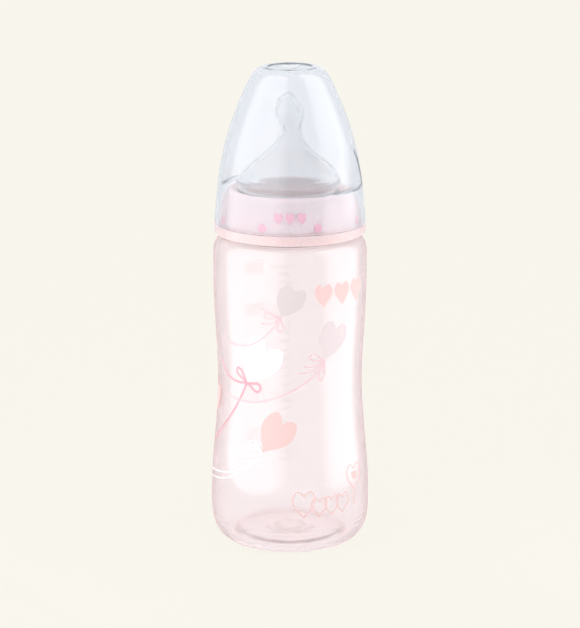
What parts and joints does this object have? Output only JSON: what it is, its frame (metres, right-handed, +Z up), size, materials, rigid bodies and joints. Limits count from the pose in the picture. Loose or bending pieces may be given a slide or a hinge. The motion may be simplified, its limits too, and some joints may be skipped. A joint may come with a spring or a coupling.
{
  "type": "baby bottle",
  "caption": "Wide-neck baby bottle with a waisted body, screw ring, orthodontic silicone teat and clear domed cap with finger grips.",
  "frame": {"origin": "centre of the foot ring, on the surface that the bottle stands on", "axes": "+Z up along the bottle's axis; the front, with the printed balloon hearts, faces -Y"},
  "size_m": [0.0662, 0.0664, 0.2],
  "materials": {
    "bottle": "translucent pink polypropylene, blow moulded, smooth gloss",
    "ring": "milky pink polypropylene, injection moulded, satin gloss",
    "teat": "clear liquid silicone rubber, moulded, soft gloss",
    "cap": "clear polypropylene, injection moulded, high gloss",
    "ink_rose": "grey-rose screen-printed ink",
    "ink_white": "white screen-printed ink",
    "ink_coral": "coral screen-printed ink",
    "ink_pink": "pink screen-printed ink"
  },
  "bodies": {
    "bottle": {"bottle": "bottle", "print_rose_hearts": "ink_rose", "print_white_heart": "ink_white", "print_coral_hearts": "ink_coral", "print_pink_strings": "ink_pink", "print_white_strings": "ink_white", "print_volume_scale": "ink_white"},
    "teat": {"teat": "teat"},
    "ring": {"screw_ring": "ring"},
    "cap": {"protective_cap": "cap"}
  },
  "joints": [
    {"name": "teat_lift", "type": "slide", "parent": "bottle", "child": "teat", "axis": [0, 0, 1], "range_m": [0, 0.0144]},
    {"name": "ring_turn", "type": "hinge", "parent": "teat", "child": "ring", "pos_m": [0, 0, 0.14], "axis": [0, 0, 1], "range_deg": [0, 864]},
    {"name": "cap_pull", "type": "slide", "parent": "ring", "child": "cap", "axis": [0, 0, 1], "range_m": [0, 0.065]}
  ],
  "couplings": [
    {"joint": "teat_lift", "follows": "ring_turn", "m_per_rad": 0.00095493}
  ]
}
